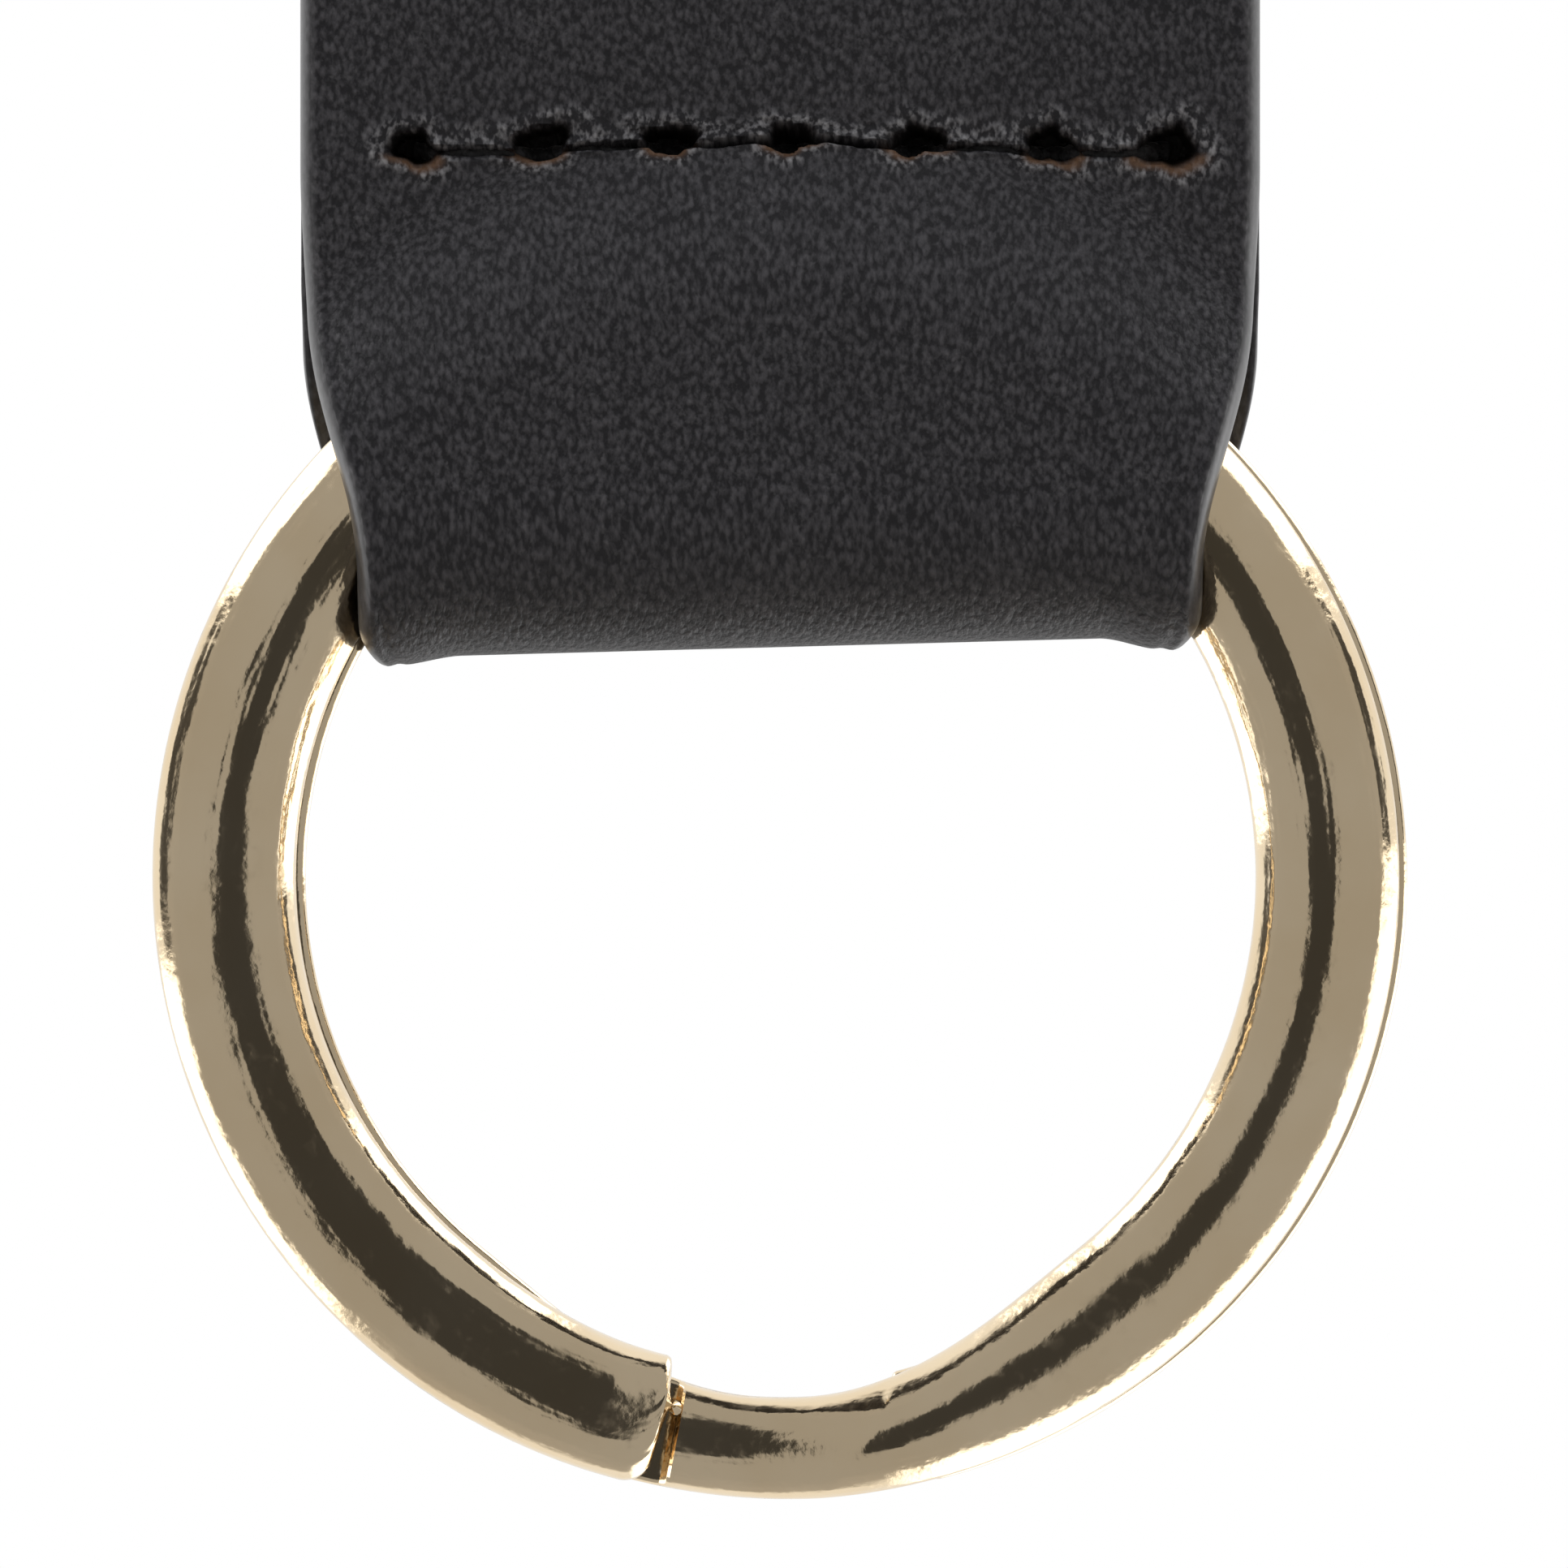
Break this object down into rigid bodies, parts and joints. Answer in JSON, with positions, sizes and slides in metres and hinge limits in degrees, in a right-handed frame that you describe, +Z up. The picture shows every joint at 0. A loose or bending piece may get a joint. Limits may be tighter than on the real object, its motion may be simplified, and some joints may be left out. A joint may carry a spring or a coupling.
{
  "type": "irish martingale",
  "caption": "Short doubled leather strap with a metal split ring folded into each end; each rein runs through one ring, which keeps the pair of reins together.",
  "frame": {"origin": "centre of the upper ring's eye", "axes": "+Z up along the strap, away from the lower ring; X across the strap's width; Y through the rings' eyes, with the strap's face towards -Y"},
  "size_m": [0.0324, 0.008, 0.1644],
  "materials": {
    "strap_leather": "black bridle leather, fine grain, satin, painted edges",
    "ring_metal": "polished pale brass plating",
    "stitch_thread": "waxed black polyester thread"
  },
  "bodies": {
    "upper_ring": {"upper_ring": "ring_metal"},
    "upper_loop": {"upper_loop": "strap_leather", "upper_ring_row_needle_thread": "stitch_thread", "upper_ring_row_bobbin_thread": "stitch_thread"},
    "upper_strap": {"upper_face_ply": "strap_leather", "upper_back_ply": "strap_leather", "upper_joint_row_needle_thread": "stitch_thread", "upper_joint_row_bobbin_thread": "stitch_thread"},
    "lower_strap": {"lower_face_ply": "strap_leather", "lower_back_ply": "strap_leather", "lower_joint_row_needle_thread": "stitch_thread", "lower_joint_row_bobbin_thread": "stitch_thread"},
    "lower_loop": {"lower_loop": "strap_leather", "lower_ring_row_needle_thread": "stitch_thread", "lower_ring_row_bobbin_thread": "stitch_thread"},
    "lower_ring": {"lower_ring": "ring_metal"}
  },
  "joints": [
    {"name": "upper_ring_turn", "type": "hinge", "parent": "upper_ring", "child": "upper_loop", "pos_m": [0, 0, 0], "axis": [0, 1, 0], "continuous": true},
    {"name": "upper_loop_flex", "type": "hinge", "parent": "upper_loop", "child": "upper_strap", "pos_m": [0, 0, -0.02647], "axis": [1, 0, 0], "range_deg": [-30, 30], "stiffness_Nm_per_rad": 0.15},
    {"name": "strap_bend", "type": "hinge", "parent": "upper_strap", "child": "lower_strap", "pos_m": [0, 0, -0.066], "axis": [1, 0, 0], "range_deg": [-45, 45], "stiffness_Nm_per_rad": 0.1},
    {"name": "lower_loop_flex", "type": "hinge", "parent": "lower_strap", "child": "lower_loop", "pos_m": [0, 0, -0.10553], "axis": [1, 0, 0], "range_deg": [-30, 30], "stiffness_Nm_per_rad": 0.15},
    {"name": "lower_ring_turn", "type": "hinge", "parent": "lower_loop", "child": "lower_ring", "pos_m": [0, 0, -0.132], "axis": [0, 1, 0], "continuous": true}
  ]
}
